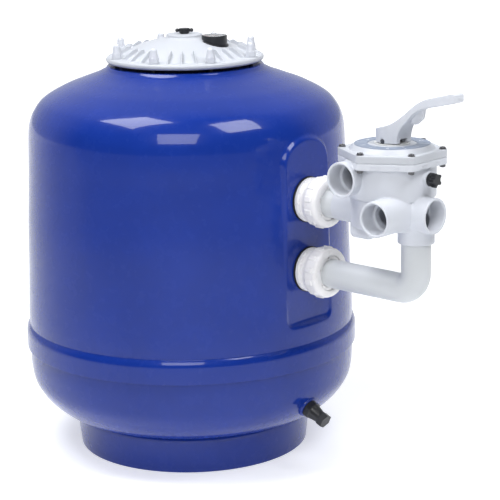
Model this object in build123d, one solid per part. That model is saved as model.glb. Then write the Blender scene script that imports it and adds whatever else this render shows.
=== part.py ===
"""Side-mount sand filter tank with a six-way selector valve, as separate parts.

Frame: millimetres, +Z up, origin on the tank axis at the underside of the foot ring,
+X from the tank axis through the two side ports to the selector valve.
"""
from build123d import *
import math
import os

os.makedirs("parts", exist_ok=True)

# ---- driving sizes -----------------------------------------------------------
TANK_R = 302.0  # tank outside radius under the band
WALL = 6.0  # tank and bowl wall
UPPER_PORT_Z = 497.0
LOWER_PORT_Z = 372.0
PORT_HEIGHTS = {"upper": UPPER_PORT_Z, "lower": LOWER_PORT_Z}
PAD_X = 293.5  # flat pad that both side ports seal on
PAD_INNER_X = 283.5
PIPE_R = 25.0  # 50 mm pressure pipe
PIPE_WALL = 3.0
VALVE_X = 480.0  # vertical axis of the selector valve
DIAL_Z = 617.0
NECK_TOP_Z = 711.0
LID_BASE_Z = 717.0
BOLT_CIRCLE_R = 130.0  # lid studs
STUD_ANGLE = 20.0  # degrees from the port side to the first stud
STUDS = 8
GLUE_GAP = 0.1  # radial gap of a glued pipe in its socket
FREE_GAP = 0.3  # gap between curved faces that turn or slide past each other

# ---- tank profile: (radius, height) of the outside skin ----------------------
BAND_R = 308.0
BAND_BOTTOM_Z = 195.0
BAND_TOP_Z = 234.0
BAND_ROUND = 10.0
BOWL = [(226, 69), (248, 77), (264, 88.5), (281.6, 106.5), (296.3, 131), (301.8, 162), (TANK_R, 195)]
BARREL = [(302.3, 262), (299, 343), (296.7, 422), (293.7, 482), (291.6, 531), (289.7, 588)]
SHOULDER = [(286.7, 612), (278.6, 632), (262, 652), (226, 672.5), (190, 686.5), (162, 697), (145.5, 705.5)]
RIM_R = 141.6  # mouth of the tank under the lid
NECK_HOLE_R = 112.0

# ---- lid ---------------------------------------------------------------------
LID_R = 143.5
FLANGE_T = 10.0
DOME_R = 122.0
DOME_RISE = 34.5
LID_WALL = 7.0
CROWN_R = 33.0
CROWN_T = 4.0
LID_HOLE_R = 5.5
STUD_R = 4.0
GAUGE_R = 23.0
GAUGE_POS = (60.0, 16.0)  # gauge axis on the lid
GAUGE_TOP_Z = 765.0

# ---- unions ------------------------------------------------------------------
COLLAR_R = 39.0
THREAD_R = 35.7
UNION_FACE_X = 332.0  # where the end connector seals
NUT_BACK_X = 316.5
NUT_FRONT_X = 347.0
NUT_R = 44.0
NUT_MOUTH_R = 30.5

# ---- valve -------------------------------------------------------------------
HEX_CORNER_R = 93.0
VALVE_BOLT_R = 84.0
FLANGE_BOTTOM_Z = 584.0
SEAM_Z = 596.0
COVER_TOP_Z = 609.0
UPPER_BODY_R = 74.0
LOWER_BODY_R = 68.0
STEP_Z = 530.0
BODY_BOTTOM_Z = 479.0
PORT_R = 29.5
SOCKET_R = 25.15  # open sockets that take 50 mm pipe
SOCKET_DEPTH = 30.0
WATERWAY_R = 21.0
PIVOT_Z = 623.0
HUB_R = 27.0  # lever hub
STEM_R = 9.0
DECK_TOP_Z = 535.0
DROP_X = VALVE_X + 51.0  # axis of the vertical run of the lower pipe
PIPE_BEND_R = 31.0

# ---- drain -------------------------------------------------------------------
DRAIN_START = (280.0, 0.0, 120.0)
DRAIN_TILT = 25.0  # degrees below level


# ---- helpers -----------------------------------------------------------------
def save(name, *solids):
    """Write one node; several solids make a group of identical pieces."""
    shape = solids[0] if len(solids) == 1 else Compound(children=list(solids))
    shape.label = name
    export_step(shape, f"parts/{name}.step")


def along(point, direction):
    """A plane at a point whose normal is the given direction."""
    return Plane(origin=point, z_dir=direction)


def rod(point, direction, radius, length):
    """A cylinder that starts at a point and runs along a direction."""
    return along(point, direction) * Cylinder(radius, length, align=(Align.CENTER, Align.CENTER, Align.MIN))


def tube(point, direction, outer, inner, length):
    return rod(point, direction, outer, length) - rod(point, direction, inner, length)


def taper(point, direction, r_start, r_end, length):
    """A cone frustum that starts at a point and runs along a direction."""
    return along(point, direction) * Cone(
        r_start, r_end, length, align=(Align.CENTER, Align.CENTER, Align.MIN))


def hex_rod(point, direction, across_flats, length, turn=0.0):
    """A hexagonal bar that starts at a point and runs along a direction."""
    shape = RegularPolygon(across_flats / 2, 6, major_radius=False, rotation=turn)
    return extrude(along(point, direction) * shape, length)


def revolved(points):
    """Turn a closed outline of (radius, height) points about the tank axis."""
    outline = Plane.XZ * make_face(Polyline(*points, close=True))
    return revolve(outline, Axis.Z)


def ring_of(count, radius, height, start_angle=0.0):
    """Points evenly spaced on a circle about the Z axis."""
    angles = [math.radians(start_angle + 360 * k / count) for k in range(count)]
    return [(radius * math.cos(a), radius * math.sin(a), height) for a in angles]


def inset(points, depth):
    """Move a run of outline points inward, square to the outline."""
    moved = []
    for k, (r, z) in enumerate(points):
        before = points[max(k - 1, 0)]
        after = points[min(k + 1, len(points) - 1)]
        dr = after[0] - before[0]
        dz = after[1] - before[1]
        size = math.hypot(dr, dz)
        moved.append((r - depth * dz / size, z + depth * dr / size))
    return moved


def smooth_turned(start, curve_points, end):
    """Turn a smooth outline about the Z axis, closed by straight lines, with its seam at -X."""
    curve = Spline(*curve_points)
    first = Polyline(curve_points[0], *start)
    last = Polyline(curve_points[-1], *end)
    close = Line(start[-1], end[-1])
    half_section = Plane.XZ * make_face(curve + first + last + close)
    return revolve(Rot(0, 0, 180) * half_section, Axis.Z)


# ---- tank --------------------------------------------------------------------
def bowl_outside(depth=0.0):
    """The outside of the lower bowl, or its inside at a depth below the skin."""
    points = inset(BOWL, depth) if depth else BOWL
    dish_z = 42.0 + depth
    top = BAND_TOP_Z + 4
    return smooth_turned([(points[0][0] - 30, points[0][1] - 8), (0, dish_z)], points,
                         [(points[-1][0], top), (0, top)])


def drain_axis_point(distance):
    """A point on the drain axis, measured from its start inside the bowl."""
    tilt = math.radians(DRAIN_TILT)
    x, y, z = DRAIN_START
    return (x + distance * math.cos(tilt), y, z - distance * math.sin(tilt))


DRAIN_DIR = (math.cos(math.radians(DRAIN_TILT)), 0, -math.sin(math.radians(DRAIN_TILT)))
DRAIN_FACE = 13.0  # distance along the axis to the sealing face of the boss


def lower_shell():
    boss = rod(drain_axis_point(-6), DRAIN_DIR, 19, DRAIN_FACE + 6)
    shell = bowl_outside() + boss
    shell -= bowl_outside(WALL) - rod(drain_axis_point(-6), DRAIN_DIR, 19, 12)
    return shell - rod(drain_axis_point(-20), DRAIN_DIR, 10.5, 60)


def foot_ring():
    ring = revolved([(214, 0), (223, 80), (215, 80), (207, 8), (188, 8), (188, 0)])
    return ring - bowl_outside()


def pad_block(x, half_width, bottom, top):
    """The block behind the flat port pad, with an arched top and round lower corners."""
    arch = half_width * 0.75
    outline = make_face(
        Polyline((-half_width, top - arch), (-half_width, bottom), (half_width, bottom),
                 (half_width, top - arch))
        + ThreePointArc((half_width, top - arch), (0, top), (-half_width, top - arch)))
    block = extrude(Plane(origin=(x, 0, 0), x_dir=(0, 1, 0), z_dir=(1, 0, 0)) * outline, -60)
    lower_edges = block.edges().filter_by(Axis.X).sort_by(Axis.Z)[:2]
    return fillet(lower_edges, 14)


def pad_cut(x, half_width, bottom):
    """What is planed off the barrel in front of the flat port pad."""
    block = Pos(x + 30, 0, (bottom + 620) / 2) * Box(60, 2 * half_width, 620 - bottom)
    return fillet(block.edges().filter_by(Axis.X).sort_by(Axis.Z)[:2], 14)


def upper_outside(depth=0.0):
    curve = inset(BARREL + SHOULDER, depth) if depth else BARREL + SHOULDER
    low_z = BAND_BOTTOM_Z - 1
    body = smooth_turned([(curve[0][0], low_z), (0, low_z)], curve,
                         [(curve[-1][0], NECK_TOP_Z - 4), (0, NECK_TOP_Z - 4)])
    return body


def rounded_band():
    """The thicker joint band, with a rounded upper edge that runs into the barrel."""
    face_top = BAND_TOP_Z - BAND_ROUND
    edge = ThreePointArc((BAND_R, face_top), (BAND_R - 2.2, face_top + 6.5), (TANK_R, BAND_TOP_Z + 2))
    outline = edge + Polyline((TANK_R, BAND_TOP_Z + 2), (0, BAND_TOP_Z + 2), (0, BAND_BOTTOM_Z),
                              (BAND_R, BAND_BOTTOM_Z), (BAND_R, face_top))
    return revolve(Rot(0, 0, 180) * (Plane.XZ * make_face(outline)), Axis.Z)


def upper_shell():
    outside = upper_outside() - pad_cut(PAD_X, 64, 276)
    outside += pad_block(PAD_X, 58, 276, 606) - rod((0, 0, 0), (0, 0, 1), 200, 700)
    band = rounded_band()
    neck = revolved([(0, 690), (150, 690), (145.5, NECK_TOP_Z - 5.5), (RIM_R + 1, NECK_TOP_Z - 1),
                     (RIM_R, NECK_TOP_Z), (0, NECK_TOP_Z)])
    outside += band + neck
    outside -= Pos(0, 0, BAND_BOTTOM_Z - 10) * Cylinder(400, 20)
    inside = upper_outside(WALL) - pad_cut(PAD_INNER_X, 70, 262)
    inside -= rod((0, 0, 690), (0, 0, 1), 152, 40)
    inside += rod((0, 0, BAND_BOTTOM_Z), (0, 0, 1), TANK_R + 0.1, BAND_TOP_Z + 4.1 - BAND_BOTTOM_Z)
    inside += rod((0, 0, 650), (0, 0, 1), NECK_HOLE_R, 100)
    shell = outside - inside
    for z in PORT_HEIGHTS.values():
        shell -= rod((200, 0, z), (1, 0, 0), 30.2, 120)
    for x, y, z in ring_of(STUDS, BOLT_CIRCLE_R, NECK_TOP_Z - 12, STUD_ANGLE):
        shell -= rod((x, y, z), (0, 0, 1), STUD_R + 0.05, 20)
    return shell


# ---- lid and what sits on it ---------------------------------------------------
LID_TOP_OF_FLANGE = LID_BASE_Z + FLANGE_T
CROWN_Z = LID_TOP_OF_FLANGE + DOME_RISE
CROWN_TOP_Z = CROWN_Z + CROWN_T


def dome(radius, base, top):
    """A shallow spherical dome about the tank axis: full radius at base, rising to top."""
    rise = top - base
    sphere_r = (radius**2 + rise**2) / (2 * rise)
    slab = rod((0, 0, base), (0, 0, 1), radius + 1, rise + 1)
    return (Pos(0, 0, top - sphere_r) * Sphere(sphere_r)) & slab


def lid():
    shape = revolved([(0, LID_BASE_Z), (LID_R - 3, LID_BASE_Z), (LID_R, LID_BASE_Z + 3),
                      (LID_R, LID_TOP_OF_FLANGE - 3), (LID_R - 2, LID_TOP_OF_FLANGE), (0, LID_TOP_OF_FLANGE)])
    shape += dome(DOME_R, LID_TOP_OF_FLANGE, CROWN_Z)
    shape += rod((0, 0, CROWN_Z - 8), (0, 0, 1), CROWN_R, CROWN_T + 8)
    rib = Plane.XZ * make_face(Polyline((98, LID_TOP_OF_FLANGE - 1), (139, LID_TOP_OF_FLANGE - 1),
                                        (106, LID_TOP_OF_FLANGE + 20), (98, LID_TOP_OF_FLANGE + 20),
                                        close=True))
    bay = 360 / STUDS
    for k in range(STUDS):
        for share in (0.25, 0.5, 0.75):
            shape += Rot(0, 0, STUD_ANGLE + bay * (k + share)) * extrude(rib, 1.0, both=True)
    shape -= dome(DOME_R - 16, LID_BASE_Z, CROWN_Z - LID_WALL)
    shape += rod((0, 0, CROWN_Z - 16), (0, 0, 1), 14, 12)
    x, y = GAUGE_POS
    shape += rod((x, y, CROWN_Z - 22), (0, 0, 1), 11, 8)
    shape -= rod((x, y, LID_BASE_Z), (0, 0, 1), 6.6, 60)
    shape -= rod((0, 0, LID_BASE_Z), (0, 0, 1), 6.5, 60)
    for px, py, pz in ring_of(STUDS, BOLT_CIRCLE_R, LID_BASE_Z - 1, STUD_ANGLE):
        shape -= rod((px, py, pz), (0, 0, 1), LID_HOLE_R, 40)
        shape -= rod((px, py, LID_TOP_OF_FLANGE), (0, 0, 1), 12, 30)
    return shape


def lid_gasket():
    return tube((0, 0, NECK_TOP_Z), (0, 0, 1), 123, 113, LID_BASE_Z - NECK_TOP_Z)


def lid_studs():
    height = LID_TOP_OF_FLANGE + 20 - (NECK_TOP_Z - 12)
    return [rod(p, (0, 0, 1), STUD_R, height) for p in ring_of(STUDS, BOLT_CIRCLE_R, NECK_TOP_Z - 12, STUD_ANGLE)]


def lid_washers():
    return [tube(p, (0, 0, 1), 10.5, STUD_R + 0.6, 1.6)
            for p in ring_of(STUDS, BOLT_CIRCLE_R, LID_TOP_OF_FLANGE, STUD_ANGLE)]


def lid_cap_nuts():
    """Tall domed plastic caps on a moulded hexagon, threaded inside."""
    nuts = []
    base = LID_TOP_OF_FLANGE + 1.6
    for p in ring_of(STUDS, BOLT_CIRCLE_R, base, STUD_ANGLE):
        nut = hex_rod(p, (0, 0, 1), 16.0, 9)
        nut += taper((p[0], p[1], base + 9), (0, 0, 1), 8.0, 6.2, 11)
        nut += Pos(p[0], p[1], base + 20) * Sphere(6.2)
        nut -= rod(p, (0, 0, 1), STUD_R + FREE_GAP, 22.2)
        nuts.append(nut)
    return nuts


def bleed_screw():
    """Thumb screw with a thin two-eared head; opening it vents the tank."""
    base = CROWN_TOP_Z + 1.6
    head = rod((0, 0, base), (0, 0, 1), 9.5, 8)
    wing = Pos(0, 0, base + 4.4) * Box(26, 6, 5)
    wing = fillet(wing.edges().filter_by(Axis.Y), 2.2)
    head += Rot(0, 0, 45) * (wing + Pos(13, 0, base + 4.4) * Sphere(3.6) + Pos(-13, 0, base + 4.4) * Sphere(3.6))
    head = head & (Pos(0, 0, base + 4) * Box(60, 60, 8))
    return head + rod((0, 0, base - 22), (0, 0, 1), 6.2, 22)


def bleed_oring():
    return Pos(0, 0, CROWN_TOP_Z + 0.8) * Torus(7.3, 0.78)


def gauge_seat():
    """Black skirt that carries the gauge drum square on the sloping dome."""
    x, y = GAUGE_POS
    seat = rod((x, y, CROWN_Z - 24), (0, 0, 1), GAUGE_R + 2.5, 18)
    over = dome(DOME_R + 1.6, LID_TOP_OF_FLANGE, CROWN_Z + 2.2)
    seat = seat & over
    seat -= dome(DOME_R, LID_TOP_OF_FLANGE, CROWN_Z)
    return seat - rod((x, y, LID_BASE_Z), (0, 0, 1), 6.8, 60)


def gauge_case():
    """Drum of the pressure gauge, open at the top, with its threaded shank below."""
    x, y = GAUGE_POS
    case = rod((x, y, CROWN_Z - 24), (0, 0, 1), GAUGE_R, GAUGE_TOP_Z - CROWN_Z + 24)
    case -= dome(DOME_R + 1.6, LID_TOP_OF_FLANGE, CROWN_Z + 2.2)
    case -= rod((x, y, GAUGE_TOP_Z - 4), (0, 0, 1), GAUGE_R - 1.5, 6)
    return case + rod((x, y, CROWN_Z - 24), (0, 0, 1), 6.4, 20)


def gauge_dial():
    x, y = GAUGE_POS
    return rod((x, y, GAUGE_TOP_Z - 4), (0, 0, 1), GAUGE_R - 1.6, 0.8)


def gauge_needle():
    x, y = GAUGE_POS
    z = GAUGE_TOP_Z - 3.0
    hub = rod((x, y, z), (0, 0, 1), 2.2, 1.0)
    hand = Plane((x, y, z)) * Rot(0, 0, 225) * make_face(
        Polyline((-6, -1.1), (17, -0.4), (17, 0.4), (-6, 1.1), close=True))
    return hub + extrude(hand, 0.7)


def gauge_lens():
    x, y = GAUGE_POS
    return rod((x, y, GAUGE_TOP_Z - 1.6), (0, 0, 1), GAUGE_R - 1.55, 2.0)


# ---- side ports: bulkheads and unions -------------------------------------------
OUT = (1, 0, 0)


def bulkhead(z):
    """Flanged fitting through the tank wall: collar and male thread outside, long thread inside."""
    start = PAD_X + 3
    shape = rod((start, 0, z), OUT, COLLAR_R, 7)
    shape += rod((start, 0, z), OUT, COLLAR_R - 2, 11)
    for k in range(12):
        lug = Pos(start + 4.5, 0, 0) * Box(9, 4, 2.4)
        shape += Pos(0, 0, z) * Rot(30 * k, 0, 0) * Pos(0, 0, COLLAR_R - 1.3) * lug
    shape += rod((start, 0, z), OUT, THREAD_R, UNION_FACE_X - start)
    shape += rod((250, 0, z), OUT, 29.8, start - 250)
    shape -= rod((240, 0, z), OUT, 22, 120)
    shape -= rod((240, 0, z), OUT, PIPE_R + GLUE_GAP, 30)
    return shape - tube((UNION_FACE_X - 3.0, 0, z), OUT, 31.3, 27.7, 4)


def bulkhead_gasket(z):
    return tube((PAD_X, 0, z), OUT, COLLAR_R + 1.2, 30.2, 3)


def bulkhead_nut(z):
    """Hexagonal back nut inside the tank."""
    return hex_rod((PAD_INNER_X - 14, 0, z), OUT, 76, 14) - rod((200, 0, z), OUT, 29.9, 120)


def union_nut(z):
    """Big ring nut with a row of square grip lugs and a rounded mouth."""
    rear = NUT_BACK_X
    outline = [(rear, 39.5), (rear + 2, NUT_R - 1.6), (rear + 6, NUT_R), (NUT_FRONT_X - 6, NUT_R),
               (NUT_FRONT_X - 1.8, NUT_R - 1.8), (NUT_FRONT_X, NUT_R - 6), (NUT_FRONT_X, NUT_MOUTH_R + 1.5),
               (NUT_FRONT_X - 1.5, NUT_MOUTH_R), (UNION_FACE_X + 8.8, NUT_MOUTH_R),
               (UNION_FACE_X + 8.8, THREAD_R + FREE_GAP), (rear, THREAD_R + FREE_GAP)]
    nut = revolve(Plane.XY * make_face(Polyline(*outline, close=True)), Axis.X)
    for k in range(12):
        lug = Pos((rear + NUT_FRONT_X) / 2 - 2, 0, NUT_R - 0.3) * Box(14, 9, 4.2)
        lug = fillet(lug.edges().filter_by(Axis.Z), 1.2)
        nut += Rot(30 * k + 15, 0, 0) * lug
    return Pos(0, 0, z) * nut


def union_tail(z):
    """End connector: flange held by the nut, notched crown, socket for the pipe."""
    tail = rod((UNION_FACE_X + 0.3, 0, z), OUT, THREAD_R - 0.6, 8.2)
    tail += rod((UNION_FACE_X + 0.3, 0, z), OUT, NUT_MOUTH_R - FREE_GAP, 12.2)
    for k in range(6):
        notch = Pos(UNION_FACE_X + 11.8, 0, NUT_MOUTH_R - 1.5) * Box(4, 5, 4.4)
        tail -= Pos(0, 0, z) * Rot(60 * k + 10, 0, 0) * notch
    tail += rod((UNION_FACE_X - 14, 0, z), OUT, 21.8, 15)
    tail -= rod((UNION_FACE_X - 20, 0, z), OUT, 19.5, 40)
    return tail - rod((UNION_FACE_X + 3, 0, z), OUT, PIPE_R + GLUE_GAP, 20)


def union_oring(z):
    return Pos(UNION_FACE_X - 1.4, 0, z) * Rot(0, 90, 0) * Torus(29.5, 1.6)


def upper_pipe():
    start = UNION_FACE_X + 3.2
    return tube((start, 0, UPPER_PORT_Z), OUT, PIPE_R, PIPE_R - PIPE_WALL, 380 - start)


def quarter_bend(centre, radius):
    """A quarter bend from level to upright, in the XZ plane."""
    x, z = centre
    half = radius * math.sin(math.radians(45))
    return ThreePointArc((x, 0, z - radius), (x + half, 0, z - half), (x + radius, 0, z))


def lower_pipe():
    """From the lower union along to a tight elbow, then up into the valve."""
    start = UNION_FACE_X + 3.2
    corner = DROP_X - PIPE_BEND_R
    path = (Line((start, 0, LOWER_PORT_Z), (corner, 0, LOWER_PORT_Z))
            + quarter_bend((corner, LOWER_PORT_Z + PIPE_BEND_R), PIPE_BEND_R)
            + Line((DROP_X, 0, LOWER_PORT_Z + PIPE_BEND_R), (DROP_X, 0, BODY_BOTTOM_Z - 2)))
    ring = along((start, 0, LOWER_PORT_Z), OUT) * (Circle(PIPE_R) - Circle(PIPE_R - PIPE_WALL))
    return sweep(ring, path)


# ---- selector valve --------------------------------------------------------------
PORT_A = (VALVE_X - 33, -95, 565)  # upper, faces -Y
PORT_B = (VALVE_X + 41, -100, 509)  # lower, faces -Y
PORT_C = (VALVE_X + 97, -8, 507)  # lower, faces +X
SPIGOT_X = 367.0
PLUG_Z = 565.0


def valve_rod(radius, bottom, top):
    return rod((VALVE_X, 0, bottom), (0, 0, 1), radius, top - bottom)


def hexagon(bottom, top):
    """Six-sided block of the valve flange with rounded corners at the bolts."""
    outline = Plane((VALVE_X, 0, bottom)) * RegularPolygon(HEX_CORNER_R, 6, rotation=30)
    block = extrude(outline, top - bottom)
    return fillet(block.edges().filter_by(Axis.Z), 12)


def valve_bolt_points(z):
    return [(VALVE_X + x, y, z) for x, y, _ in ring_of(6, VALVE_BOLT_R, 0, 30)]


def scoops():
    """Two shallow hollows under the edge on each side of the body flange."""
    flat = HEX_CORNER_R * math.cos(math.radians(30))
    cutter = None
    for side in range(6):
        for shift in (-16, 16):
            piece = Pos(VALVE_X, 0, 0) * Rot(0, 0, 60 * side) * Pos(flat + 26.4, shift, FLANGE_BOTTOM_Z + 2.5) * Cylinder(28, 9)
            cutter = piece if cutter is None else cutter + piece
    return cutter


def open_socket(face_point, inward):
    """Pipe socket with a stop shoulder, cut in from a port face."""
    return (rod(face_point, inward, SOCKET_R, SOCKET_DEPTH) + rod(face_point, inward, WATERWAY_R, 75)
            + taper(face_point, inward, SOCKET_R + 1.5, SOCKET_R, 1.5))


def body_outside():
    """Hexagonal flange, two-step barrel, side chamber, plug boss and the five port necks."""
    body = hexagon(FLANGE_BOTTOM_Z, SEAM_Z) - scoops()
    body += valve_rod(UPPER_BODY_R, STEP_Z, FLANGE_BOTTOM_Z + 1)
    body += valve_rod(LOWER_BODY_R, BODY_BOTTOM_Z, STEP_Z + 1)
    chamber = Pos(VALVE_X - 35, -12, BODY_BOTTOM_Z + 15) * Box(46, 66, 76)
    body += fillet(chamber.edges().filter_by(Axis.Z) + chamber.faces().sort_by(Axis.Z)[0].edges(), 9)
    body += rod(PORT_A, (0, 1, 0), PORT_R, 75)
    body += rod(PORT_B, (0, 1, 0), PORT_R + 0.5, 82)
    body += rod(PORT_C, (-1, 0, 0), PORT_R + 0.5, 60)
    body += rod((DROP_X, 0, BODY_BOTTOM_Z - 24), (0, 0, 1), 30.75, 48)
    body += rod((SPIGOT_X, 0, UPPER_PORT_Z), OUT, 26.5, 70)
    body += rod((VALVE_X + 60, 0, PLUG_Z), OUT, 13.5, 19)
    return body


def valve_body():
    """The body outside less the rotor chamber, waterways, sockets and bolt holes."""
    body = body_outside()
    rotor_chamber = valve_rod(64, DECK_TOP_Z, SEAM_Z + 1)
    lower_room = valve_rod(60, BODY_BOTTOM_Z + 6, DECK_TOP_Z - 9)
    wall_along = Pos(VALVE_X, 0, BODY_BOTTOM_Z + 23) * Box(150, 5, 70)
    wall_across = Pos(VALVE_X, 12, BODY_BOTTOM_Z + 23) * Box(5, 150, 70)
    body -= rotor_chamber + (lower_room - wall_along - wall_across)
    for angle in (45, 135, 225, 315):
        window = Rot(0, 0, angle) * Pos(38, 0, 0) * Cylinder(15, 30)
        body -= Pos(VALVE_X, 0, DECK_TOP_Z - 5) * window
    body -= open_socket(PORT_A, (0, 1, 0))
    body -= open_socket(PORT_B, (0, 1, 0))
    body -= open_socket(PORT_C, (-1, 0, 0))
    body -= rod((DROP_X, 0, BODY_BOTTOM_Z - 25), (0, 0, 1), PIPE_R + GLUE_GAP, 23)
    body -= rod((DROP_X, 0, BODY_BOTTOM_Z - 25), (0, 0, 1), WATERWAY_R, 48)
    body -= rod((SPIGOT_X - 1, 0, UPPER_PORT_Z), OUT, PIPE_R + GLUE_GAP, 15)
    body -= rod((SPIGOT_X - 1, 0, UPPER_PORT_Z), OUT, WATERWAY_R, 66)
    body -= rod((VALVE_X + 40, 0, PLUG_Z), OUT, 6.5, 60)
    for p in valve_bolt_points(FLANGE_BOTTOM_Z - 2):
        body -= rod(p, (0, 0, 1), 3.3, 20)
    body -= tube((VALVE_X + 77, 0, PLUG_Z), OUT, 8.8, 6.4, 3)
    return body - tube((VALVE_X, 0, SEAM_Z - 3.4), (0, 0, 1), 71, 67, 4)


def valve_cover():
    """Hexagonal cover with a raised round dial seat and a bored hub for the stem."""
    cover = hexagon(SEAM_Z, COVER_TOP_Z)
    cover = chamfer(cover.faces().sort_by(Axis.Z)[-1].edges(), 1.2)
    cover += taper((VALVE_X, 0, COVER_TOP_Z), (0, 0, 1), 72, 64.5, DIAL_Z - COVER_TOP_Z)
    cover -= valve_rod(56, SEAM_Z - 1, COVER_TOP_Z - 2)
    cover += valve_rod(18, SEAM_Z + 2, COVER_TOP_Z)
    cover -= valve_rod(STEM_R + FREE_GAP, SEAM_Z - 1, DIAL_Z + 1)
    dial_recess = valve_rod(63.3, DIAL_Z - 1, DIAL_Z + 1) - valve_rod(40.7, DIAL_Z - 1, DIAL_Z + 1)
    cover -= dial_recess
    oring_groove = valve_rod(STEM_R + 2.6, DIAL_Z - 10, DIAL_Z - 7)
    cover -= oring_groove
    for p in valve_bolt_points(SEAM_Z - 1):
        cover -= rod(p, (0, 0, 1), 3.3, 20)
    return cover


def cover_oring():
    return Pos(VALVE_X, 0, SEAM_Z - 1.7) * Torus(69, 1.7)


def dial_plate():
    return tube((VALVE_X, 0, DIAL_Z - 1), (0, 0, 1), 63, 41, 1.3)


def valve_bolts():
    """Six pan-head screws down through the cover and body flange."""
    bolts = []
    for x, y, z in valve_bolt_points(COVER_TOP_Z + 1.2):
        bolt = rod((x, y, z), (0, 0, 1), 4.9, 2.6)
        bolt = fillet(bolt.edges().sort_by(Axis.Z)[-1], 1.2)
        bolt += rod((x, y, FLANGE_BOTTOM_Z - 5.5), (0, 0, 1), 3.0, z + 6 - FLANGE_BOTTOM_Z)
        bolt -= hex_rod((x, y, z + 1.2), (0, 0, 1), 4.0, 2)
        bolts.append(bolt)
    return bolts


def valve_washers():
    return [tube(p, (0, 0, 1), 6.2, 3.1, 1.2) for p in valve_bolt_points(COVER_TOP_Z)]


def valve_nuts():
    return [hex_rod(p, (0, 0, 1), 9.5, 4.6) - rod(p, (0, 0, 1), 3.05, 6)
            for p in valve_bolt_points(FLANGE_BOTTOM_Z - 4.6)]


ROTOR_BOTTOM_Z = DECK_TOP_Z + 3.3
ROTOR_TOP_Z = ROTOR_BOTTOM_Z + 14


def spider_gasket():
    """Wheel-shaped seal on the deck: rim, hub and four spokes between the windows."""
    z = DECK_TOP_Z
    seal = valve_rod(60, z, z + 3)
    for angle in (45, 135, 225, 315):
        window = Rot(0, 0, angle) * Pos(38, 0, 0) * Cylinder(15.5, 20)
        seal -= Pos(VALVE_X, 0, z) * window
    return seal


def rotor():
    """Diverter disc with one open channel, and the stem up to the lever pin."""
    disc = valve_rod(60, ROTOR_BOTTOM_Z, ROTOR_TOP_Z)
    channel = Pos(VALVE_X, 0, ROTOR_BOTTOM_Z) * (Cylinder(54, 20) - Cylinder(20, 20))
    disc -= channel & (Pos(VALVE_X + 60, 0, ROTOR_BOTTOM_Z) * Box(120, 76, 20))
    disc -= Pos(VALVE_X - 38, 0, ROTOR_TOP_Z) * Cylinder(14, 40)
    stem = valve_rod(STEM_R, ROTOR_TOP_Z - 4, PIVOT_Z + 9)
    stem -= rod((VALVE_X, -30, PIVOT_Z), (0, 1, 0), 4.0, 60)
    return disc + stem


def spring_washer():
    return tube((VALVE_X, 0, SEAM_Z - 0.2), (0, 0, 1), 17, STEM_R + FREE_GAP, 2)


def stem_spring():
    """Coil that presses the rotor down on its seal."""
    low = ROTOR_TOP_Z + 1.6
    high = SEAM_Z - 1.9
    turns = 5
    path = Pos(VALVE_X, 0, low) * Helix((high - low) / turns, high - low, 13.5)
    section = Plane(origin=path @ 0, z_dir=path % 0) * Circle(1.5)
    return sweep(section, path, is_frenet=True)


def stem_oring():
    return Pos(VALVE_X, 0, DIAL_Z - 8.5) * Torus(STEM_R + 1.35, 1.0)


def thrust_washer():
    return tube((VALVE_X, 0, DIAL_Z + 0.2), (0, 0, 1), 30, STEM_R + FREE_GAP, 1.4)


def lever():
    """Selector handle: forked hub on the stem pin, cranked arm, flat grip."""
    upright = Plane(origin=(VALVE_X, 0, DIAL_Z), x_dir=(1, 0, 0), z_dir=(0, -1, 0))
    crown = Spline((-HUB_R, 14), (-24, 22.5), (-15, 27), (10, 34.5), (36, 53), (58, 71), (84, 83))
    belly = Spline((78, 66), (58, 58), (44, 45), (30, 27), (HUB_R - 2, 3))
    grip = Polyline((84, 83), (131, 95), (137, 93), (139, 87), (138, 82), (134, 79), (78, 66))
    base = Polyline((HUB_R - 2, 3), (-HUB_R, 3), (-HUB_R, 14))
    blade = extrude(upright * make_face(crown + grip + belly + base), HUB_R + 2, both=True)
    half_plan = [(0, HUB_R), (14, 23), (40, 15), (78, 12.5), (128, 14.5), (136, 12), (139.5, 7)]
    plan = half_plan + [(x, -y) for x, y in reversed(half_plan)]
    footprint = make_face(Polyline(*plan, close=True)) + Circle(HUB_R)
    shape = blade & extrude(Plane((VALVE_X, 0, DIAL_Z)) * footprint, 120)
    slot_width = 2 * STEM_R + 1.2
    shape -= Pos(VALVE_X, 0, DIAL_Z) * Box(27, slot_width, 39)
    shape -= Pos(VALVE_X + 20, 0, DIAL_Z) * Box(40, slot_width, 19)
    shape -= rod((VALVE_X, -40, PIVOT_Z), (0, 1, 0), 4.0 + FREE_GAP, 80)
    tang = Plane(origin=(VALVE_X, 0, DIAL_Z), x_dir=(1, 0, 0), z_dir=(0, -1, 0)) * make_face(
        Polyline((68, 66), (66, 52), (64, 46), (52, 36), (42, 36), (44, 50), close=True))
    shape += extrude(tang, 4, both=True)
    return shape - rod((VALVE_X + 86, 0, DIAL_Z + 60), (0, 0, 1), 2.2, 40)


def lever_pin():
    return rod((VALVE_X, -HUB_R + 0.8, PIVOT_Z), (0, 1, 0), 3.98, 2 * HUB_R - 1.6)


def star_plug():
    """Five-lobed drain plug on the plug boss."""
    face = VALVE_X + 79.3
    plug = rod((face, 0, PLUG_Z), OUT, 11.5, 6)
    star = Circle(8.5)
    for k in range(5):
        angle = math.radians(72 * k + 90)
        star += Pos(9.5 * math.cos(angle), 9.5 * math.sin(angle)) * Circle(3)
    star = star + RegularPolygon(10.4, 5, rotation=90)
    plug += extrude(along((face + 6, 0, PLUG_Z), OUT) * star, 9)
    return plug + rod((face - 14, 0, PLUG_Z), OUT, 6.2, 15)


def plug_oring():
    return Pos(VALVE_X + 78.2, 0, PLUG_Z) * Rot(0, 90, 0) * Torus(7.6, 1.0)


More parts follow.
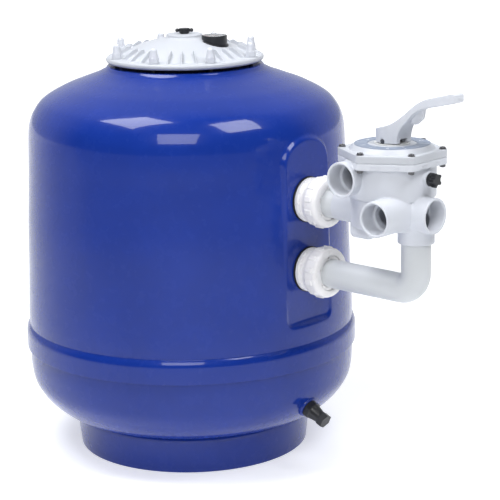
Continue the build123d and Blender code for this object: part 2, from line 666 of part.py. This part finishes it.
# ---- drain -----------------------------------------------------------------------
def drain_body():
    face = DRAIN_FACE + 1.6
    shape = hex_rod(drain_axis_point(face), DRAIN_DIR, 30, 10)
    shape += taper(drain_axis_point(face + 10), DRAIN_DIR, 14.4, 10.6, 19)
    shape += rod(drain_axis_point(face + 29), DRAIN_DIR, 8.4, 8)
    shape += rod(drain_axis_point(-24), DRAIN_DIR, 10.2, face + 24)
    return shape - rod(drain_axis_point(-25), DRAIN_DIR, 5, 90)


def drain_gasket():
    return tube(drain_axis_point(DRAIN_FACE), DRAIN_DIR, 15.5, 10.4, 1.6)


def drain_nut():
    return (hex_rod(drain_axis_point(-16), DRAIN_DIR, 32, 9)
            - rod(drain_axis_point(-30), DRAIN_DIR, 10.3, 60))


def drain_cap():
    face = DRAIN_FACE + 1.6 + 29.4
    cap = hex_rod(drain_axis_point(face), DRAIN_DIR, 24, 12)
    return cap - rod(drain_axis_point(face - 1), DRAIN_DIR, 8.4 + FREE_GAP, 9.6)


# ---- inside the tank ---------------------------------------------------------------
HUB_Z = 118.0
DIFFUSER_Z = 640.0
RISER_X = 120.0
INNER_START_X = 268.0


def elbow_path(x_end, z_from, z_to):
    """Level run from the port, a bend, then an upright run at x_end."""
    bend = 35.0
    up = 1 if z_to > z_from else -1
    half = bend * (1 - math.sin(math.radians(45)))
    return (Line((INNER_START_X, 0, z_from), (x_end + bend, 0, z_from))
            + ThreePointArc((x_end + bend, 0, z_from), (x_end + half, 0, z_from + up * half),
                            (x_end, 0, z_from + up * bend))
            + Line((x_end, 0, z_from + up * bend), (x_end, 0, z_to)))


def inner_pipe(x_end, z_from, z_to):
    ring = along((INNER_START_X, 0, z_from), (-1, 0, 0)) * (Circle(PIPE_R) - Circle(PIPE_R - PIPE_WALL))
    return sweep(ring, elbow_path(x_end, z_from, z_to))


def diffuser():
    """Upturned cup with side slots that spreads the incoming water over the sand."""
    z = DIFFUSER_Z
    cup = taper((RISER_X, 0, z - 34), (0, 0, 1), 32, 52, 30)
    cup -= taper((RISER_X, 0, z - 30), (0, 0, 1), 29, 49.5, 27)
    cup -= rod((RISER_X, 0, z - 60), (0, 0, 1), PIPE_R + GLUE_GAP, 40)
    cup += rod((RISER_X, 0, z + 4), (0, 0, 1), 52, 3)
    for k in range(6):
        angle = math.radians(60 * k + 30)
        post = (RISER_X + 47 * math.cos(angle), 47 * math.sin(angle), z - 8)
        cup += rod(post, (0, 0, 1), 3, 14)
    return cup


def collector_hub():
    hub = rod((0, 0, HUB_Z - 34), (0, 0, 1), 44, 40)
    hub += rod((0, 0, HUB_Z), (0, 0, 1), 31, 34)
    hub -= rod((0, 0, HUB_Z - 28), (0, 0, 1), 38, 28)
    hub -= rod((0, 0, HUB_Z - 5), (0, 0, 1), PIPE_R + GLUE_GAP, 60)
    for x, y, z in ring_of(8, 1.0, HUB_Z - 14):
        hub -= rod((0, 0, z), (x, y, 0), 9.1, 60)
    return hub


def laterals():
    """Eight closed arms with cross slots that let water in and keep sand out."""
    arms = []
    for k in range(8):
        arm = tube((38.5, 0, HUB_Z - 14), OUT, 9.0, 6.6, 145)
        arm += rod((181, 0, HUB_Z - 14), OUT, 9.0, 3)
        for s in range(16):
            arm -= Pos(60 + 7 * s, 0, HUB_Z - 6) * Box(1.0, 18, 6)
        arms.append(Rot(0, 0, 45 * k) * arm)
    return arms


# ---- write every node ----------------------------------------------------------------
save("foot_ring", foot_ring())
save("lower_shell", lower_shell())
save("upper_shell", upper_shell())
save("lid", lid())
save("lid_gasket", lid_gasket())
save("lid_studs", *lid_studs())
save("lid_washers", *lid_washers())
save("lid_cap_nuts", *lid_cap_nuts())
save("bleed_screw", bleed_screw())
save("bleed_oring", bleed_oring())
save("gauge_seat", gauge_seat())
save("gauge_case", gauge_case())
save("gauge_dial", gauge_dial())
save("gauge_needle", gauge_needle())
save("gauge_lens", gauge_lens())

for level, height in PORT_HEIGHTS.items():
    save(f"{level}_bulkhead", bulkhead(height))
    save(f"{level}_bulkhead_gasket", bulkhead_gasket(height))
    save(f"{level}_bulkhead_nut", bulkhead_nut(height))
    save(f"{level}_union_nut", union_nut(height))
    save(f"{level}_union_tail", union_tail(height))
    save(f"{level}_union_oring", union_oring(height))
save("upper_pipe", upper_pipe())
save("lower_pipe", lower_pipe())

save("valve_body", valve_body())
save("valve_cover", valve_cover())
save("cover_oring", cover_oring())
save("dial_plate", dial_plate())
save("valve_bolts", *valve_bolts())
save("valve_washers", *valve_washers())
save("valve_nuts", *valve_nuts())
save("spider_gasket", spider_gasket())
save("rotor", rotor())
save("spring_washer", spring_washer())
save("stem_spring", stem_spring())
save("stem_oring", stem_oring())
save("thrust_washer", thrust_washer())
save("lever", lever())
save("lever_pin", lever_pin())
save("star_plug", star_plug())
save("plug_oring", plug_oring())

save("drain_body", drain_body())
save("drain_gasket", drain_gasket())
save("drain_nut", drain_nut())
save("drain_cap", drain_cap())

save("inlet_riser", inner_pipe(RISER_X, UPPER_PORT_Z, DIFFUSER_Z - 20))
save("return_pipe", inner_pipe(0.0, LOWER_PORT_Z, HUB_Z - 4))
save("diffuser", diffuser())
save("collector_hub", collector_hub())
save("laterals", *laterals())
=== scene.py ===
"""Looks of the side-mount sand filter tank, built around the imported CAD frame.

Metres, +Z up, origin on the tank axis under the foot, +X through the side ports to the valve.
"""

import math

import bmesh
import bpy
from mathutils import Matrix, Vector


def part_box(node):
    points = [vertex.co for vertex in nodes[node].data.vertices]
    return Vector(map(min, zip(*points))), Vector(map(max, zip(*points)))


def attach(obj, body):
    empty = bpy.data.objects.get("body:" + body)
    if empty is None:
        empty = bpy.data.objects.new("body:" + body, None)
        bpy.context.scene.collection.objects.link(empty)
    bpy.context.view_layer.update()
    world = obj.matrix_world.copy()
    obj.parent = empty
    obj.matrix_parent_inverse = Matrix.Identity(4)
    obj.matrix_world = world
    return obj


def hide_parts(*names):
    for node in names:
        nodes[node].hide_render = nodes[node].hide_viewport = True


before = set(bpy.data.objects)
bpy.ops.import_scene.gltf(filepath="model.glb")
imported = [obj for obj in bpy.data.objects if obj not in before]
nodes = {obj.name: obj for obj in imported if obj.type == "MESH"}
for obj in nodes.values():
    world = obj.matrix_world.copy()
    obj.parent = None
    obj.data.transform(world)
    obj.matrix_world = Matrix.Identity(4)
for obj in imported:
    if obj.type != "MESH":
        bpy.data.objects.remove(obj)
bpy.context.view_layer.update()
MM = 0.001

# ---- camera ------------------------------------------------------------------
VIEW_AZIMUTH = math.radians(45)  # camera stands between +X and -Y
CAMERA_DISTANCE = 3.24
CAMERA_HEIGHT = 1.1471
CAMERA_PITCH = 0.2388
CAMERA_YAW = 0.0347
CAMERA_ROLL = -0.0172
LENS_MM = 128.35
TOWARD_CAMERA = Vector((math.cos(VIEW_AZIMUTH), -math.sin(VIEW_AZIMUTH), 0))
RIGHT_OF_CAMERA = Vector((math.sin(VIEW_AZIMUTH), math.cos(VIEW_AZIMUTH), 0))
UP = Vector((0, 0, 1))
AIM_POINT = Vector((0.1, 0, 0.45))  # the softboxes look here
FLOOR_HALF = 14.0
FLOOR_DROP = 0.2 * MM  # keeps the floor clear of the foot
FLOOR_REACH = 4.0  # the floor's glow changes within this distance of the tank axis
FLOOR_GLOW = ((-4.0, 1.0), (-2.0, 0.62), (-0.64, 0.50), (0.42, 0.50), (1.2, 0.24))  # metres ahead, glow


def place_camera():
    """A long lens a little above the lid, turned and rolled a touch off level."""
    away = -TOWARD_CAMERA
    right = RIGHT_OF_CAMERA * math.cos(CAMERA_YAW) - away * math.sin(CAMERA_YAW)
    level = RIGHT_OF_CAMERA * math.sin(CAMERA_YAW) + away * math.cos(CAMERA_YAW)
    forward = level * math.cos(CAMERA_PITCH) - UP * math.sin(CAMERA_PITCH)
    upward = right.cross(forward)
    side = right * math.cos(CAMERA_ROLL) + upward * math.sin(CAMERA_ROLL)
    top = upward * math.cos(CAMERA_ROLL) - right * math.sin(CAMERA_ROLL)
    data = bpy.data.cameras.new("camera")
    data.lens = LENS_MM
    data.sensor_width = 36.0
    camera = bpy.data.objects.new("camera", data)
    turn = Matrix((side, top, -forward)).transposed()
    place = TOWARD_CAMERA * CAMERA_DISTANCE + UP * CAMERA_HEIGHT
    camera.matrix_world = Matrix.Translation(place) @ turn.to_4x4()
    bpy.context.scene.collection.objects.link(camera)
    bpy.context.scene.camera = camera


# ---- studio ------------------------------------------------------------------
def softbox(name, toward, right, up, size, watts, tint=(1, 1, 1)):
    """A square area light aimed at the middle of the tank."""
    place = AIM_POINT + TOWARD_CAMERA * toward + RIGHT_OF_CAMERA * right + UP * up
    data = bpy.data.lights.new(name, "AREA")
    data.size = size
    data.energy = watts
    data.color = tint
    light = bpy.data.objects.new(name, data)
    aim = (place - AIM_POINT).to_track_quat("Z", "Y").to_matrix().to_4x4()
    light.matrix_world = Matrix.Translation(place) @ aim
    bpy.context.scene.collection.objects.link(light)


def build_world():
    """A pale room behind and beside the tank, dim on the camera's side."""
    world = bpy.data.worlds.new("pale_room")
    bpy.context.scene.world = world
    world.use_nodes = True
    tree = world.node_tree
    sky = tree.nodes["Background"]
    sky.inputs["Color"].default_value = (0.93, 0.96, 1.0, 1)
    direction = tree.nodes.new("ShaderNodeTexCoord")
    facing = tree.nodes.new("ShaderNodeVectorMath")
    facing.operation = "DOT_PRODUCT"
    facing.inputs[1].default_value = TOWARD_CAMERA
    fade = tree.nodes.new("ShaderNodeMapRange")
    fade.interpolation_type = "SMOOTHSTEP"
    fade.inputs["From Min"].default_value = -0.45
    fade.inputs["From Max"].default_value = 0.12
    fade.inputs["To Min"].default_value = 0.65
    fade.inputs["To Max"].default_value = 0.05
    tree.links.new(direction.outputs["Generated"], facing.inputs[0])
    tree.links.new(facing.outputs["Value"], fade.inputs["Value"])
    tree.links.new(fade.outputs["Result"], sky.inputs["Strength"])


def build_studio():
    softbox("left_box", 0.30, -0.95, 2.1, 1.1, 42, (0.96, 0.97, 1.0))
    softbox("right_box", 0.95, 1.05, 2.0, 1.0, 33, (0.97, 0.98, 1.0))
    softbox("front_fill", 3.4, -0.5, 2.3, 1.9, 72)
    build_world()
    bpy.context.scene.view_settings.view_transform = "Standard"


def build_floor():
    mesh = bpy.data.meshes.new("floor")
    half = FLOOR_HALF
    corners = [(-half, -half, 0), (half, -half, 0), (half, half, 0), (-half, half, 0)]
    mesh.from_pydata(corners, [], [(0, 1, 2, 3)])
    floor = bpy.data.objects.new("floor", mesh)
    floor.location.z = -FLOOR_DROP
    bpy.context.scene.collection.objects.link(floor)
    paper = finish("studio_floor", (0.80, 0.81, 0.82), 0.01, 0.7, 0.05, grain=60, depth=0.1 * MM)
    shade_floor(paper)
    mesh.materials.append(paper)


def shade_floor(paper):
    """Pale paper that glows most behind the tank and least in front of it."""
    tree = paper.node_tree
    shader = tree.nodes["Principled BSDF"]
    place = tree.nodes.new("ShaderNodeTexCoord")
    ahead = tree.nodes.new("ShaderNodeVectorMath")
    ahead.operation = "DOT_PRODUCT"
    ahead.inputs[1].default_value = TOWARD_CAMERA
    tree.links.new(place.outputs["Object"], ahead.inputs[0])
    glow = tree.nodes.new("ShaderNodeValToRGB")
    stops = glow.color_ramp.elements
    stops.remove(stops[1])
    for distance, level in FLOOR_GLOW:
        position = (distance + FLOOR_REACH) / (2 * FLOOR_REACH)
        stop = stops.new(position) if position else stops[0]
        stop.color = (level, level, level, 1)
    reach = tree.nodes.new("ShaderNodeMapRange")
    reach.inputs["From Min"].default_value = -FLOOR_REACH
    reach.inputs["From Max"].default_value = FLOOR_REACH
    tree.links.new(ahead.outputs["Value"], reach.inputs["Value"])
    tree.links.new(reach.outputs["Result"], glow.inputs["Fac"])
    tree.links.new(glow.outputs["Color"], shader.inputs["Emission Color"])
    shader.inputs["Emission Strength"].default_value = 1.0


# ---- finishes ----------------------------------------------------------------
MOTTLE = 11.0  # clouds of colour to the metre


def finish(name, colour, vary, roughness, rough_vary, grain=900.0, depth=0.03 * MM,
           metallic=0.0, coat=0.0, coat_roughness=0.05, stretch=(1, 1, 1),
           waves=0.0, transmission=0.0, specular=0.5, ior=1.5):
    """A procedural finish: mottled colour, uneven gloss and a fine moulded grain."""
    material = bpy.data.materials.new(name)
    material.use_nodes = True
    tree = material.node_tree
    shader = tree.nodes["Principled BSDF"]
    place = tree.nodes.new("ShaderNodeTexCoord")
    squeeze = tree.nodes.new("ShaderNodeMapping")
    squeeze.inputs["Scale"].default_value = stretch
    tree.links.new(place.outputs["Object"], squeeze.inputs["Vector"])

    def cloud(scale, detail):
        texture = tree.nodes.new("ShaderNodeTexNoise")
        texture.inputs["Scale"].default_value = scale
        texture.inputs["Detail"].default_value = detail
        tree.links.new(squeeze.outputs["Vector"], texture.inputs["Vector"])
        return texture.outputs["Fac"]

    ramp = tree.nodes.new("ShaderNodeValToRGB")
    ramp.color_ramp.elements[0].position = 0.3
    ramp.color_ramp.elements[1].position = 0.7
    ramp.color_ramp.elements[0].color = (*[c * (1 - vary) for c in colour], 1)
    ramp.color_ramp.elements[1].color = (*[min(c * (1 + vary), 1) for c in colour], 1)
    tree.links.new(cloud(MOTTLE, 6), ramp.inputs["Fac"])
    tree.links.new(ramp.outputs["Color"], shader.inputs["Base Color"])

    spread = tree.nodes.new("ShaderNodeMapRange")
    spread.inputs["From Min"].default_value = 0.3
    spread.inputs["From Max"].default_value = 0.7
    spread.inputs["To Min"].default_value = max(roughness - rough_vary, 0.02)
    spread.inputs["To Max"].default_value = roughness + rough_vary
    tree.links.new(cloud(MOTTLE * 4, 5), spread.inputs["Value"])
    tree.links.new(spread.outputs["Result"], shader.inputs["Roughness"])

    bump = tree.nodes.new("ShaderNodeBump")
    bump.inputs["Distance"].default_value = depth
    tree.links.new(cloud(grain, 3), bump.inputs["Height"])
    if waves:
        swell = tree.nodes.new("ShaderNodeBump")
        swell.inputs["Distance"].default_value = waves
        tree.links.new(cloud(9, 1), swell.inputs["Height"])
        tree.links.new(swell.outputs["Normal"], bump.inputs["Normal"])
    tree.links.new(bump.outputs["Normal"], shader.inputs["Normal"])

    shader.inputs["Metallic"].default_value = metallic
    shader.inputs["Specular IOR Level"].default_value = specular
    shader.inputs["IOR"].default_value = ior
    shader.inputs["Coat Weight"].default_value = coat
    shader.inputs["Coat Roughness"].default_value = coat_roughness
    shader.inputs["Transmission Weight"].default_value = transmission
    return material


def build_finishes():
    return {
        "tank_blue": finish("tank_blue", (0.006, 0.028, 0.235), 0.07, 0.26, 0.04, grain=300,
                            depth=0.004 * MM, coat=0.5, coat_roughness=0.03, waves=0.10 * MM,
                            specular=0.10),
        "white_abs": finish("white_abs", (0.60, 0.62, 0.67), 0.02, 0.40, 0.05, grain=1400,
                            depth=0.02 * MM),
        # A darker copy of white_abs: painted shade that holds down the strong softbox light on the
        # top-facing lid and valve cover.
        "lid_white_painted_shade": finish("lid_white_painted_shade", (0.50, 0.52, 0.56), 0.02, 0.40, 0.05, grain=1400,
                            depth=0.02 * MM),
        "union_white": finish("union_white", (0.79, 0.78, 0.78), 0.02, 0.30, 0.05, grain=1200,
                              depth=0.02 * MM),
        "pvc_grey": finish("pvc_grey", (0.57, 0.59, 0.61), 0.03, 0.36, 0.06, grain=700, depth=0.02 * MM,
                           stretch=(0.2, 1, 1)),
        "black_plastic": finish("black_plastic", (0.012, 0.013, 0.016), 0.25, 0.36, 0.09, grain=1500),
        "black_rubber": finish("black_rubber", (0.010, 0.010, 0.011), 0.25, 0.62, 0.1, grain=1800,
                               depth=0.05 * MM),
        "steel": finish("steel", (0.18, 0.18, 0.19), 0.10, 0.30, 0.08, grain=600, metallic=1.0,
                        stretch=(1, 1, 0.15)),
        # Near-black steel: painted shade on the studs in the shadowed gap under the lid.
        "shaded_steel": finish("shaded_steel", (0.03, 0.03, 0.03), 0.10, 0.45, 0.08, grain=600,
                               metallic=1.0),
        "dial_blue": finish("dial_blue", (0.22, 0.26, 0.34), 0.04, 0.42, 0.05, grain=1600),
        "dial_white": finish("dial_white", (0.70, 0.71, 0.72), 0.015, 0.45, 0.05, grain=1600),
        "needle_red": finish("needle_red", (0.45, 0.02, 0.015), 0.06, 0.4, 0.05, grain=1500),
        "clear": finish("clear", (0.95, 0.96, 0.97), 0.01, 0.04, 0.02, grain=300, depth=0.002 * MM,
                        transmission=1.0, ior=1.45),
        "inner_white": finish("inner_white", (0.70, 0.71, 0.70), 0.04, 0.45, 0.08, grain=800),
    }


# nodes whose finish differs from the rest of their slot: painted shade on the studs in the gap under the
# lid, and a darker copy of white_abs as painted shade against the softbox light on the tops of the lid, its
# washers and the valve cover
NODE_FINISHES = {"lid_studs": "shaded_steel", "lid_washers": "lid_white_painted_shade", "lid": "lid_white_painted_shade",
                 "valve_cover": "lid_white_painted_shade"}


# ---- building pieces -----------------------------------------------------------
def add_piece(name, mesh, body, slot, material, *replaced):
    """Put a finished mesh in the scene, on its body, in place of CAD nodes."""
    piece = bpy.data.objects.new(name, mesh)
    bpy.context.scene.collection.objects.link(piece)
    mesh.materials.clear()
    mesh.materials.append(material)
    mesh.shade_smooth()
    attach(piece, body)
    if replaced:
        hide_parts(*replaced)
    return piece


def melted(node, voxel, passes):
    """A CAD node's mesh with every edge rounded off, as a moulding comes out of its tool."""
    copy = bpy.data.objects.new("melting", nodes[node].data.copy())
    bpy.context.scene.collection.objects.link(copy)
    voxels = copy.modifiers.new("voxels", "REMESH")
    voxels.mode = "VOXEL"
    voxels.voxel_size = voxel
    rounding = copy.modifiers.new("rounding", "SMOOTH")
    rounding.factor = 0.5
    rounding.iterations = passes
    graph = bpy.context.evaluated_depsgraph_get()
    mesh = bpy.data.meshes.new_from_object(copy.evaluated_get(graph))
    bpy.data.objects.remove(copy)
    return mesh


def add_melted(node, body, slot, voxel, passes):
    mesh = melted(node, voxel, passes)
    material = finishes[NODE_FINISHES.get(node, slot)]
    return add_piece(f"{node}_moulding", mesh, body, slot, material, node)


# ---- tank skins ----------------------------------------------------------------
BAND_R = 308.0
BAND_BOTTOM_Z = 195.0
BAND_TOP_Z = 234.0
TANK_R = 302.0
WALL = 6.0
RIM_R = 141.6
RIM_Z = 711.0
NECK_HOLE_R = 112.0
PAD_X = 293.5
PAD_INNER_X = 283.5
PAD_HALF_WIDTH = 58.0
PAD_BOTTOM = 276.0
PAD_TOP = 606.0
PAD_ARCH = 43.5
PAD_CORNER = 14.0
BOWL = [(0, 42), (110, 45), (185, 56), (226, 69), (248, 77), (264, 88.5), (281.6, 106.5),
        (296.3, 131), (301.8, 162), (TANK_R, 195)]
SHELL = [(302.2, 240), (302.3, 262), (299, 343), (296.7, 422), (293.7, 482), (291.6, 531), (289.7, 588),
         (286.7, 612), (278.6, 632), (262, 652), (226, 672.5), (190, 686.5), (162, 697), (145.5, 705.5)]


def smooth_through(points, spacing):
    """A rounded run of points through the given ones, about evenly spaced."""
    out = []
    for k in range(len(points) - 1):
        before = Vector(points[max(k - 1, 0)])
        start = Vector(points[k])
        end = Vector(points[k + 1])
        after = Vector(points[min(k + 2, len(points) - 1)])
        length = (end - start).length
        lead = (end - before) * (length / max((end - before).length, 1e-9))
        trail = (after - start) * (length / max((after - start).length, 1e-9))
        steps = max(2, round(length / spacing))
        for i in range(steps):
            t = i / steps
            out.append(tuple((2 * t**3 - 3 * t**2 + 1) * start + (t**3 - 2 * t**2 + t) * lead
                             + (3 * t**2 - 2 * t**3) * end + (t**3 - t**2) * trail))
    out.append(points[-1])
    return out


def rounded_corner(before, corner, after, radius, steps=6):
    """Points of a soft corner between two straight runs."""
    corner = Vector(corner)
    start = corner + (Vector(before) - corner).normalized() * radius
    end = corner + (Vector(after) - corner).normalized() * radius
    return [tuple((1 - t) ** 2 * start + 2 * t * (1 - t) * corner + t * t * end)
            for t in [i / steps for i in range(steps + 1)]]


def inward(points, depth):
    """A run of outline points moved inward, square to the outline."""
    moved = []
    for k, point in enumerate(points):
        run = Vector(points[min(k + 1, len(points) - 1)]) - Vector(points[max(k - 1, 0)])
        run.normalize()
        moved.append((point[0] - depth * run.y, point[1] + depth * run.x))
    return moved


def pad_share(y, z):
    """How far a point of the barrel belongs to the flat port pad, from 0 to 1."""
    if z > PAD_TOP - PAD_ARCH:
        rise = (z - PAD_TOP + PAD_ARCH) / PAD_ARCH
        outside = (math.hypot(y / PAD_HALF_WIDTH, rise) - 1) * PAD_ARCH
    else:
        across = abs(y) - PAD_HALF_WIDTH + PAD_CORNER
        down = PAD_BOTTOM + PAD_CORNER - z
        outside = math.hypot(max(across, 0), max(down, 0)) + min(max(across, down), 0) - PAD_CORNER
    t = min(max((4.0 - outside) / 8.0, 0), 1)
    return t * t * (3 - 2 * t)


def tank_angles():
    """Angles round the tank: close together at the port pad, wider elsewhere."""
    near = [k * 0.3 for k in range(-47, 48)]
    wide = 14.1
    step = (360 - 2 * wide) / 220
    return [math.radians(a) for a in near + [wide + step * k for k in range(1, 220)]]


def turned(name, outline, angles, reshape=None):
    """A closed outline of (radius, height) in millimetres, turned about the tank axis."""
    mesh = bpy.data.meshes.new(name)
    points = []
    for angle in angles:
        for radius, height in outline:
            x = radius * math.cos(angle)
            y = radius * math.sin(angle)
            if reshape and radius > 250 and x > 0:
                x = reshape(radius, x, y, height)
            points.append((x * MM, y * MM, height * MM))
    rows = len(outline)
    count = len(angles)
    faces = []
    for a in range(count):
        b = (a + 1) % count
        for k in range(rows):
            n = (k + 1) % rows
            faces.append((a * rows + k, b * rows + k, b * rows + n, a * rows + n))
    mesh.from_pydata(points, [], faces)
    tidy = bmesh.new()
    tidy.from_mesh(mesh)
    bmesh.ops.remove_doubles(tidy, verts=tidy.verts, dist=1e-6)
    bmesh.ops.dissolve_degenerate(tidy, edges=tidy.edges, dist=1e-7)
    bmesh.ops.recalc_face_normals(tidy, faces=tidy.faces)
    tidy.to_mesh(mesh)
    tidy.free()
    return mesh


def upper_skin():
    """Band, barrel, shoulder and mouth in one run, with the port pad blended in."""
    outer = smooth_through(SHELL, 3.0)
    face_top = BAND_TOP_Z - 9
    band = rounded_corner((TANK_R, BAND_BOTTOM_Z), (BAND_R, BAND_BOTTOM_Z), (BAND_R, face_top), 1.2)
    roll_start = (BAND_R, face_top - 4)
    roll = rounded_corner(roll_start, (BAND_R, face_top + 7), (TANK_R + 0.3, face_top + 13), 9.0, 12)
    mouth = rounded_corner((145.5, 705.5), (RIM_R, RIM_Z), (NECK_HOLE_R, RIM_Z), 2.0)
    mouth += rounded_corner((RIM_R, RIM_Z), (NECK_HOLE_R, RIM_Z), (NECK_HOLE_R, 690), 2.0)
    inner = inward(smooth_through([p for p in SHELL if p[0] > 152], 9.0), WALL)
    inner.reverse()
    outline = band + roll + outer + mouth + [(NECK_HOLE_R, 690), (158, 689)] + inner
    outline += [(296.2, BAND_BOTTOM_Z)]

    def flatten(radius, x, y, height):
        if not PAD_BOTTOM - 12 < height < PAD_TOP + 12:
            return x
        share = pad_share(y, height)
        inside = radius < radius_outside(height) - WALL / 2
        flat = PAD_INNER_X if inside else PAD_X
        return x + share * (flat - x)

    return turned("tank_upper_skin", outline, tank_angles(), flatten)


def radius_outside(height):
    """The barrel's outside radius at a height, by straight steps between its points."""
    for (r0, z0), (r1, z1) in zip(SHELL, SHELL[1:]):
        if z0 <= height <= z1:
            return r0 + (r1 - r0) * (height - z0) / (z1 - z0)
    return TANK_R


def lower_skin():
    outer = smooth_through(BOWL, 4.0)
    inner = inward(smooth_through(BOWL, 12.0), WALL)
    inner.reverse()
    inner[-1] = (0, inner[-1][1])
    return turned("tank_lower_skin", outer + [(TANK_R, 236), (296, 236)] + inner, even_angles(240))


def foot_skin():
    outline = rounded_corner((188, 0), (214, 0), (223, 80), 2.0)
    outline += [(215.5, 14), (217.8, 34), (220.3, 56), (222.5, 76), (214, 76), (207, 8), (188, 8), (188, 0)]
    return turned("foot_skin", outline, even_angles(240))


def even_angles(count):
    return [2 * math.pi * k / count for k in range(count)]


def drain_boss():
    """The blue stub that carries the drain, flared where it leaves the bowl."""
    low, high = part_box("drain_gasket")
    face = (low + high) / 2
    tilt = math.radians(25)
    axis = Vector((math.cos(tilt), 0, -math.sin(tilt)))
    outline = [(10.5, -1), (19, -1), (19.6, -2.2), (19.8, -6), (21, -11), (25, -15), (32, -18.5), (32, -24),
               (10.5, -24)]
    mesh = turned("drain_boss", outline, even_angles(72))
    turn = axis.to_track_quat("Z", "Y").to_matrix().to_4x4()
    mesh.transform(Matrix.Translation(face) @ turn)
    return mesh


def build_tank():
    blue = finishes["tank_blue"]
    add_piece("tank_upper_skin", upper_skin(), "tank", "tank_blue", blue, "upper_shell")
    add_piece("tank_lower_skin", lower_skin(), "tank", "tank_blue", blue, "lower_shell")
    add_piece("foot_skin", foot_skin(), "tank", "tank_blue", blue, "foot_ring")
    add_piece("drain_boss", drain_boss(), "tank", "tank_blue", blue)


# ---- mouldings: (CAD node, body, slot, voxel in mm, smoothing passes) --------------
MOULDINGS = [
    ("lid", "lid_assembly", "white_abs", 1.2, 5),
    ("lid_cap_nuts", "lid_assembly", "white_abs", 0.55, 4),
    ("bleed_screw", "bleed", "black_plastic", 0.45, 4),
    ("gauge_case", "lid_assembly", "black_plastic", 0.6, 4),
    ("gauge_seat", "lid_assembly", "black_plastic", 0.6, 3),
    ("upper_bulkhead", "tank", "union_white", 0.9, 3),
    ("lower_bulkhead", "tank", "union_white", 0.9, 3),
    ("upper_union_nut", "upper_nut", "union_white", 0.8, 4),
    ("lower_union_nut", "lower_nut", "union_white", 0.8, 4),
    ("upper_union_tail", "tank", "union_white", 0.7, 3),
    ("lower_union_tail", "tank", "union_white", 0.7, 3),
    ("valve_body", "tank", "white_abs", 1.1, 7),
    ("valve_cover", "tank", "white_abs", 0.8, 4),
    ("lever", "handle", "white_abs", 0.8, 8),
    ("star_plug", "plug", "black_plastic", 0.5, 4),
    ("drain_body", "tank", "black_plastic", 0.5, 3),
    ("drain_cap", "drain_end", "black_plastic", 0.5, 3),
]


def build_mouldings():
    for node, body, slot, voxel, passes in MOULDINGS:
        add_melted(node, body, slot, voxel * MM, passes)


# ---- printed marks ------------------------------------------------------------------
def printed_mesh(name, parts):
    """One mesh from several small flat solids."""
    joined = bmesh.new()
    for part in parts:
        joined.from_mesh(part)
        bpy.data.meshes.remove(part)
    mesh = bpy.data.meshes.new(name)
    joined.to_mesh(mesh)
    joined.free()
    return mesh


def bar(width, length, thickness, radius, angle, centre):
    """A thin bar lying on a dial, at a radius and angle from its centre."""
    mesh = bpy.data.meshes.new("bar")
    block = bmesh.new()
    bmesh.ops.create_cube(block, size=1.0)
    block.to_mesh(mesh)
    block.free()
    size = Matrix.Diagonal((length, width, thickness, 1))
    mesh.transform(Matrix.Translation(centre) @ Matrix.Rotation(angle, 4, "Z")
                   @ Matrix.Translation((radius, 0, thickness / 2)) @ size)
    return mesh


def numeral(text, height, thickness, radius, angle, centre):
    """A number standing upright to a reader outside the dial's edge."""
    data = bpy.data.curves.new("numeral", "FONT")
    data.body = text
    data.size = height
    data.extrude = thickness / 2
    data.align_x = "CENTER"
    data.align_y = "CENTER"
    carrier = bpy.data.objects.new("numeral", data)
    bpy.context.scene.collection.objects.link(carrier)
    graph = bpy.context.evaluated_depsgraph_get()
    mesh = bpy.data.meshes.new_from_object(carrier.evaluated_get(graph))
    bpy.data.objects.remove(carrier)
    quarter_turn = Matrix.Rotation(math.radians(90), 4, "Z")
    mesh.transform(Matrix.Translation(centre) @ Matrix.Rotation(angle, 4, "Z")
                   @ Matrix.Translation((radius, 0, thickness / 2)) @ quarter_turn)
    return mesh


def dial_centre(node):
    low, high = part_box(node)
    return Vector(((low.x + high.x) / 2, (low.y + high.y) / 2, high.z))


def build_marks():
    """Six numbered positions on the valve's dial, and a plain scale on the gauge."""
    centre = dial_centre("dial_plate")
    parts = []
    for k in range(6):
        angle = math.radians(60 * k)
        parts.append(numeral(str(k + 1), 11 * MM, 0.1 * MM, 52 * MM, angle, centre))
        parts.append(bar(0.8 * MM, 20 * MM, 0.1 * MM, 52 * MM, angle + math.radians(30), centre))
    add_piece("dial_marks", printed_mesh("dial_marks", parts), "tank", "dial_white", finishes["dial_white"])
    centre = dial_centre("gauge_dial")
    parts = []
    for k in range(28):
        angle = math.radians(225 - 10 * k)
        long_mark = k % 9 == 0
        parts.append(bar(0.5 * MM, (3 if long_mark else 1.6) * MM, 0.05 * MM, 18.4 * MM, angle, centre))
    for k in range(4):
        parts.append(numeral(str(k), 4.2 * MM, 0.05 * MM, 13.2 * MM, math.radians(225 - 90 * k), centre))
    add_piece("gauge_marks", printed_mesh("gauge_marks", parts), "lid_assembly", "black_plastic",
              finishes["black_plastic"])


place_camera()
finishes = build_finishes()
build_studio()
build_floor()
for name, node in nodes.items():
    for held in node.material_slots:
        slot_name = held.material.name.split(".")[0]
        held.material = finishes[NODE_FINISHES.get(name, slot_name)]
build_tank()
build_mouldings()
build_marks()
